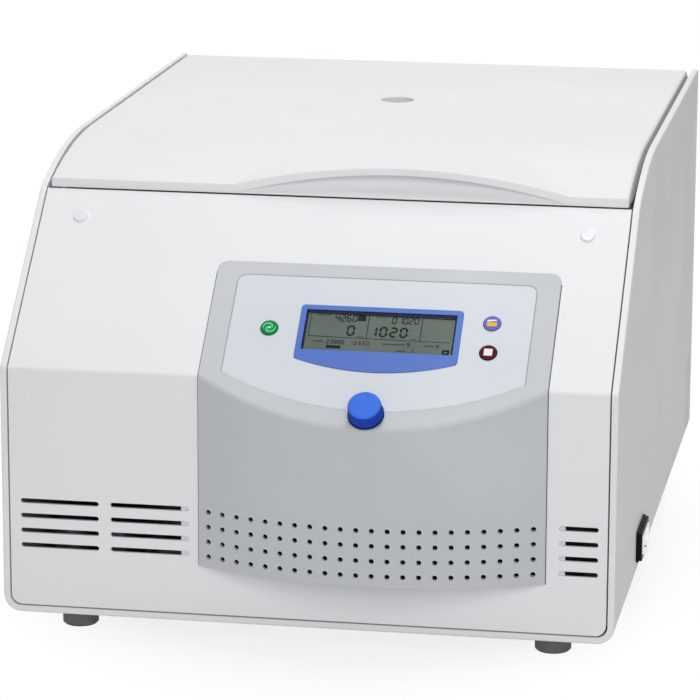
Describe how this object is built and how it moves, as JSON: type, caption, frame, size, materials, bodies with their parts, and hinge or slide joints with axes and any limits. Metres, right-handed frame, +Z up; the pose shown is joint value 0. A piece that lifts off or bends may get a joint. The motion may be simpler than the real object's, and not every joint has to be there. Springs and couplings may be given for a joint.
{
  "type": "cytocentrifuge",
  "caption": "Bench-top laboratory centrifuge with a hinged white lid, bulged grey control console, blue knob and a swing-out rotor of slide carriers for cell preparations.",
  "frame": {"origin": "on the bench under the middle of the machine's length, in the plane midway between its side walls", "axes": "+X to the right of somebody facing the machine, +Y to its back, +Z up"},
  "size_m": [0.4645, 0.6624, 0.342],
  "materials": {
    "housing_white": "satin moulded, off-white",
    "panel_white": "satin powder coat, off-white",
    "lid_white": "satin moulded, white",
    "console_grey": "fine matt texture, grey",
    "keypad_grey": "smooth foil, pale blue-grey",
    "frame_blue": "smooth, mid blue",
    "knob_blue": "satin, bright blue",
    "clear": "clear, polished",
    "display_green": "liquid-crystal glass, grey-green",
    "button_green": "smooth, green",
    "button_violet": "smooth, violet",
    "button_red": "smooth, dark red",
    "black_plastic": "matt, black",
    "rocker_white": "smooth, white",
    "board_green": "solder-masked laminate, green",
    "rubber_grey": "matt, dark grey",
    "rubber_black": "matt, black",
    "steel": "brushed stainless",
    "zinc_steel": "zinc-plated sheet",
    "aluminium": "turned and bead-blasted",
    "cast_aluminium": "sand-cast, dull",
    "chamber_plastic": "moulded, translucent white",
    "cap_white": "smooth, white"
  },
  "bodies": {
    "base": {"housing_shell": "housing_white", "front_panel": "panel_white", "screw_caps": "cap_white", "rubber_feet": "rubber_grey", "base_plate": "zinc_steel", "rear_panel": "panel_white", "panel_screws": "steel", "console_housing": "console_grey", "console_bracket": "panel_white", "keypad_membrane": "keypad_grey", "display_frame": "frame_blue", "display_window": "clear", "control_board": "board_green", "display_module": "display_green", "encoder": "black_plastic", "top_deck": "panel_white", "chamber_bowl": "steel", "chamber_seal": "rubber_grey", "motor_housing": "cast_aluminium", "motor_mounts": "rubber_black", "lock_case": "zinc_steel", "hinge_brackets": "zinc_steel", "hinge_pins": "steel", "switch_bezel": "black_plastic", "mains_inlet": "black_plastic", "motor_drive": "board_green", "heat_sink": "aluminium", "fan_frame": "black_plastic"},
    "lid": {"lid_shell": "lid_white", "lid_liner": "lid_white", "liner_screws": "steel", "sight_sleeve": "lid_white", "sight_glass": "clear", "lid_striker": "steel", "hinge_arms": "zinc_steel"},
    "rotor": {"spindle": "steel", "swing_rotor": "aluminium", "rotor_nut": "steel"},
    "knob_shaft": {"encoder_shaft": "steel"},
    "knob": {"control_knob": "knob_blue"},
    "start_key": {"start_button": "button_green"},
    "lid_key": {"lid_button": "button_violet"},
    "stop_key": {"stop_button": "button_red"},
    "rocker": {"mains_rocker": "rocker_white"},
    "pawl": {"lock_pawl": "steel"},
    "fan": {"fan_impeller": "black_plastic"},
    "bucket_1": {"carrier_1": "aluminium", "glass_slide_1": "clear", "cyto_chamber_1": "chamber_plastic"},
    "bucket_2": {"carrier_2": "aluminium", "glass_slide_2": "clear", "cyto_chamber_2": "chamber_plastic"},
    "bucket_3": {"carrier_3": "aluminium", "glass_slide_3": "clear", "cyto_chamber_3": "chamber_plastic"},
    "bucket_4": {"carrier_4": "aluminium", "glass_slide_4": "clear", "cyto_chamber_4": "chamber_plastic"}
  },
  "joints": [
    {"name": "lid_hinge", "type": "hinge", "parent": "base", "child": "lid", "pos_m": [0, 0.3115, 0.33], "axis": [-1, 0, 0], "range_deg": [0, 72]},
    {"name": "rotor_spin", "type": "hinge", "parent": "base", "child": "rotor", "pos_m": [0, 0.119, 0.243], "axis": [0, 0, 1], "continuous": true},
    {"name": "carrier_swing_1", "type": "hinge", "parent": "rotor", "child": "bucket_1", "pos_m": [0.09, 0.119, 0.243], "axis": [0, -1, 0], "range_deg": [-6, 90]},
    {"name": "carrier_swing_2", "type": "hinge", "parent": "rotor", "child": "bucket_2", "pos_m": [0, 0.209, 0.243], "axis": [1, 0, 0], "range_deg": [-6, 90]},
    {"name": "carrier_swing_3", "type": "hinge", "parent": "rotor", "child": "bucket_3", "pos_m": [-0.09, 0.119, 0.243], "axis": [0, 1, 0], "range_deg": [-6, 90]},
    {"name": "carrier_swing_4", "type": "hinge", "parent": "rotor", "child": "bucket_4", "pos_m": [0, 0.029, 0.243], "axis": [-1, 0, 0], "range_deg": [-6, 90]},
    {"name": "knob_push", "type": "slide", "parent": "base", "child": "knob_shaft", "axis": [0, 0.661, -0.7504], "range_m": [0, 0.0005], "stiffness_N_per_m": 3000, "springref_m": -0.001},
    {"name": "knob_turn", "type": "hinge", "parent": "knob_shaft", "child": "knob", "pos_m": [0.049, -0.31126, 0.18583], "axis": [0, -0.661, 0.7504], "continuous": true},
    {"name": "start_press", "type": "slide", "parent": "base", "child": "start_key", "axis": [0, 0.661, -0.7504], "range_m": [0, 0.0006], "stiffness_N_per_m": 1500, "springref_m": -0.0005},
    {"name": "lid_press", "type": "slide", "parent": "base", "child": "lid_key", "axis": [0, 0.661, -0.7504], "range_m": [0, 0.0006], "stiffness_N_per_m": 1500, "springref_m": -0.0005},
    {"name": "stop_press", "type": "slide", "parent": "base", "child": "stop_key", "axis": [0, 0.661, -0.7504], "range_m": [0, 0.0006], "stiffness_N_per_m": 1500, "springref_m": -0.0005},
    {"name": "mains_rocker_tilt", "type": "hinge", "parent": "base", "child": "rocker", "pos_m": [0.2275, -0.1125, 0.0478], "axis": [0, 0, -1], "range_deg": [0, 10]},
    {"name": "lock_pawl_swing", "type": "hinge", "parent": "base", "child": "pawl", "pos_m": [0, -0.1295, 0.264], "axis": [1, 0, 0], "range_deg": [0, 25]},
    {"name": "fan_spin", "type": "hinge", "parent": "base", "child": "fan", "pos_m": [0.12, 0.315, 0.108], "axis": [0, 1, 0], "continuous": true}
  ]
}
